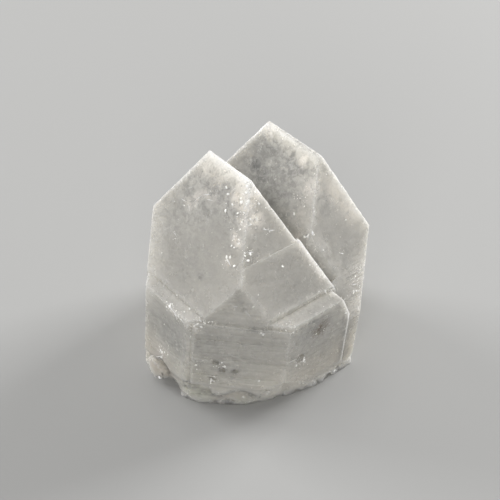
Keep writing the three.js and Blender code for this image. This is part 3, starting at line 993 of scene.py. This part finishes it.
class CRYSTAL_OT_flakes(bpy.types.Operator):
    """Scatter small bright flakes where the crystals sparkle."""

    bl_idname = "crystal.flakes"
    bl_label = "Scatter the flakes"

    def execute(self, context):
        mesh = self.scattered(context, context.scene.sparkle_settings)
        mesh.name = "bright_flakes"
        self.add_cracks(mesh)
        keep_inside(mesh)
        piece = show(context, "bright_flakes", mesh)
        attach(piece, BODY)
        return {"FINISHED"}

    def scattered(self, context, settings):
        """A plain mesh of the flakes, which Geometry Nodes lay on a copy of the crystals."""
        carrier = show(context, "flake_carrier", bpy.data.objects["milky_crystals"].data.copy())
        tree = self.scatter_tree()
        modifier = carrier.modifiers.new("Scatter", "NODES")
        modifier.node_group = tree
        chosen = {
            "Density": settings.density,
            "Size": settings.size,
            "Seed": settings.seed,
            "Finish": flake_material(bpy.data.node_groups["milky_mottle"]),
        }
        for item in tree.interface.items_tree:
            if item.item_type == "SOCKET" and item.in_out == "INPUT" and item.name in chosen:
                modifier[item.identifier] = chosen[item.name]
        context.view_layer.update()
        result = bpy.data.meshes.new_from_object(carrier.evaluated_get(context.evaluated_depsgraph_get()))
        bpy.data.objects.remove(carrier)
        if not result.polygons:
            raise RuntimeError("no flakes were made")
        return result

    def add_cracks(self, mesh):
        """Adds the short bright cracks, each a thin pointed sliver laid in the face that it crosses."""
        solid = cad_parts[CLUSTER].data
        solid.calc_loop_triangles()
        corners = [triangle.vertices for triangle in solid.loop_triangles]
        tree = BVHTree.FromPolygons([v.co for v in solid.vertices], corners)
        shape = bmesh.new()
        shape.from_mesh(mesh)
        for first, second, width in CRACKS:
            start, out = seen_at(tree, first)
            end, _ = seen_at(tree, second)
            across = (end - start).cross(out).normalized() * width * MM / 2
            middle = (start + end) / 2
            raised = out * min(width, CRACK_WIDEST) * MM * CRACK_THICKNESS
            rim = [shape.verts.new(p) for p in (start, middle + across, end, middle - across)]
            top = shape.verts.new(middle + raised)
            low = shape.verts.new(middle - raised)
            for a, b in zip(rim, rim[1:] + rim[:1]):
                shape.faces.new((a, b, top))
                shape.faces.new((b, a, low))
        bmesh.ops.recalc_face_normals(shape, faces=shape.faces)
        shape.to_mesh(mesh)
        shape.free()

    def scatter_tree(self):
        """Points on the crystals, thickest where they are marked to sparkle, each with one small flake."""
        tree = bpy.data.node_groups.new("flake_scatter", "GeometryNodeTree")
        sockets = {
            "Geometry": "NodeSocketGeometry",
            "Density": "NodeSocketFloat",
            "Size": "NodeSocketFloat",
            "Seed": "NodeSocketInt",
            "Finish": "NodeSocketMaterial",
        }
        for name, kind in sockets.items():
            tree.interface.new_socket(name, in_out="INPUT", socket_type=kind)
        tree.interface.new_socket("Geometry", in_out="OUTPUT", socket_type="NodeSocketGeometry")
        start = tree.nodes.new("NodeGroupInput").outputs
        end = tree.nodes.new("NodeGroupOutput")
        marked = add(tree, "GeometryNodeInputNamedAttribute", {"data_type": "FLOAT"}, Name="sparkle")
        sparkle = maths(tree, "POWER", marked.outputs["Attribute"], FLAKE_GATHERING)
        spots = add(
            tree, "GeometryNodeDistributePointsOnFaces", Mesh=start["Geometry"],
            Density=maths(tree, "MULTIPLY", sparkle, start["Density"]), Seed=start["Seed"])
        chip = add(tree, "GeometryNodeMeshIcoSphere", Radius=0.5, Subdivisions=1)
        spin = add(tree, "FunctionNodeRandomValue", {"data_type": "FLOAT_VECTOR"}, Seed=start["Seed"])
        spin.inputs[0].default_value = (-FLAKE_TILT, -FLAKE_TILT, -math.pi)
        spin.inputs[1].default_value = (FLAKE_TILT, FLAKE_TILT, math.pi)
        placed = add(
            tree, "GeometryNodeInstanceOnPoints", Points=spots.outputs["Points"],
            Instance=chip.outputs["Mesh"], Rotation=spots.outputs["Rotation"],
            Scale=self.flake_scale(tree, start))
        rolled = add(
            tree, "GeometryNodeRotateInstances", Instances=placed.outputs["Instances"],
            Rotation=spin.outputs[0])
        solid = add(tree, "GeometryNodeRealizeInstances", Geometry=rolled.outputs["Instances"])
        finished = add(
            tree, "GeometryNodeSetMaterial", Geometry=solid.outputs["Geometry"], Material=start["Finish"])
        tree.links.new(finished.outputs["Geometry"], end.inputs["Geometry"])
        return tree

    def flake_scale(self, tree, start):
        """A flake's three sizes: most flakes are short, a few are long, and all of them are flat."""
        pick = add(tree, "FunctionNodeRandomValue", {"data_type": "FLOAT"}, Seed=start["Seed"])
        pick.inputs[2].default_value = 0.0
        pick.inputs[3].default_value = 1.0
        rare = maths(tree, "POWER", pick.outputs[1], FLAKE_RARITY)
        share = maths(tree, "ADD", maths(tree, "MULTIPLY", rare, FLAKE_SPAN), FLAKE_SHORTEST)
        length = maths(tree, "MULTIPLY", share, start["Size"])
        scale = tree.nodes.new("ShaderNodeCombineXYZ")
        for axis, factor in FLAKE_FORM:
            feed(tree, scale.inputs[axis], maths(tree, "MULTIPLY", length, factor))
        return scale.outputs[0]


class CRYSTAL_OT_stage(bpy.types.Operator):
    """Set up the plain floor, the soft lights and the camera."""

    bl_idname = "crystal.stage"
    bl_label = "Set the stage"

    def execute(self, context):
        settings = context.scene.stage_settings
        self.lay_floor(context, settings)
        world = bpy.data.worlds.new("studio")
        world.use_nodes = True
        room = world.node_tree.nodes["Background"].inputs
        room["Color"].default_value = (*settings.room_colour, 1)
        room["Strength"].default_value = settings.room_strength
        context.scene.world = world
        context.scene.view_settings.view_transform = "Standard"
        for name, (place, size) in LIGHTS.items():
            self.soft_light(context, name, place, size, getattr(settings, f"{name}_power"))
        self.place_camera(context)
        return {"FINISHED"}

    def lay_floor(self, context, settings):
        """The plain floor, which is part of the stage and not of the specimen."""
        half = settings.floor_size / 2
        corners = [(-half, -half, 0), (half, -half, 0), (half, half, 0), (-half, half, 0)]
        mesh = bpy.data.meshes.new("floor")
        mesh.from_pydata(corners, [], [(0, 1, 2, 3)])
        floor = show(context, "floor", mesh)
        material, shader, _ = new_material("plain_floor")
        shader.inputs["Base Color"].default_value = (*settings.floor_colour, 1)
        shader.inputs["Roughness"].default_value = 0.9
        mesh.materials.append(material)

    def soft_light(self, context, name, place, size, power):
        """A square light that faces the specimen."""
        data = bpy.data.lights.new(name, "AREA")
        data.shape = "SQUARE"
        data.size = size
        data.energy = power
        light = show(context, name, data)
        light.location = place
        light.rotation_euler = (LIGHT_AIM - Vector(place)).to_track_quat("-Z", "Y").to_euler()

    def place_camera(self, context):
        """The camera, at the photograph's angle and distance."""
        lens = bpy.data.cameras.new("camera")
        lens.sensor_width = SENSOR_WIDTH
        lens.lens = VIEW_FOCAL / PHOTO_SIZE * lens.sensor_width
        lens.clip_start = 0.01
        camera = show(context, "camera", lens)
        camera.location = VIEW_TARGET - view_ahead() * VIEW_DISTANCE
        camera.rotation_euler = (math.pi / 2 - VIEW_DOWN, 0, 0)
        context.scene.camera = camera


class CRYSTAL_PT_panel(bpy.types.Panel):
    """Lists the specimen's steps."""

    bl_label = "Crystal specimen"
    bl_idname = "CRYSTAL_PT_panel"
    bl_space_type = "VIEW_3D"
    bl_region_type = "UI"
    bl_category = "Crystal"

    def draw(self, context):
        for operator in OPERATORS:
            self.layout.operator(operator.bl_idname)
        for name in SETTINGS:
            box = self.layout.box()
            group = getattr(context.scene, name)
            for key in group.__annotations__:
                box.prop(group, key)


OPERATORS = (CRYSTAL_OT_grow, CRYSTAL_OT_flakes, CRYSTAL_OT_stage)
SETTINGS = {
    "crystal_settings": CrystalSettings,
    "sparkle_settings": SparkleSettings,
    "stage_settings": StageSettings,
}


def register():
    """Makes the settings, the operators and the panel known to Blender."""
    for item in (*SETTINGS.values(), *OPERATORS, CRYSTAL_PT_panel):
        bpy.utils.register_class(item)
    for name, group in SETTINGS.items():
        setattr(bpy.types.Scene, name, bpy.props.PointerProperty(type=group))


def unregister():
    """Takes them away again."""
    for name in SETTINGS:
        delattr(bpy.types.Scene, name)
    for item in (CRYSTAL_PT_panel, *OPERATORS, *SETTINGS.values()):
        bpy.utils.unregister_class(item)


def main():
    """Builds the specimen and its stage."""
    register()
    bpy.ops.crystal.grow()
    bpy.ops.crystal.flakes()
    bpy.ops.crystal.stage()


if __name__ == "__main__":
    main()
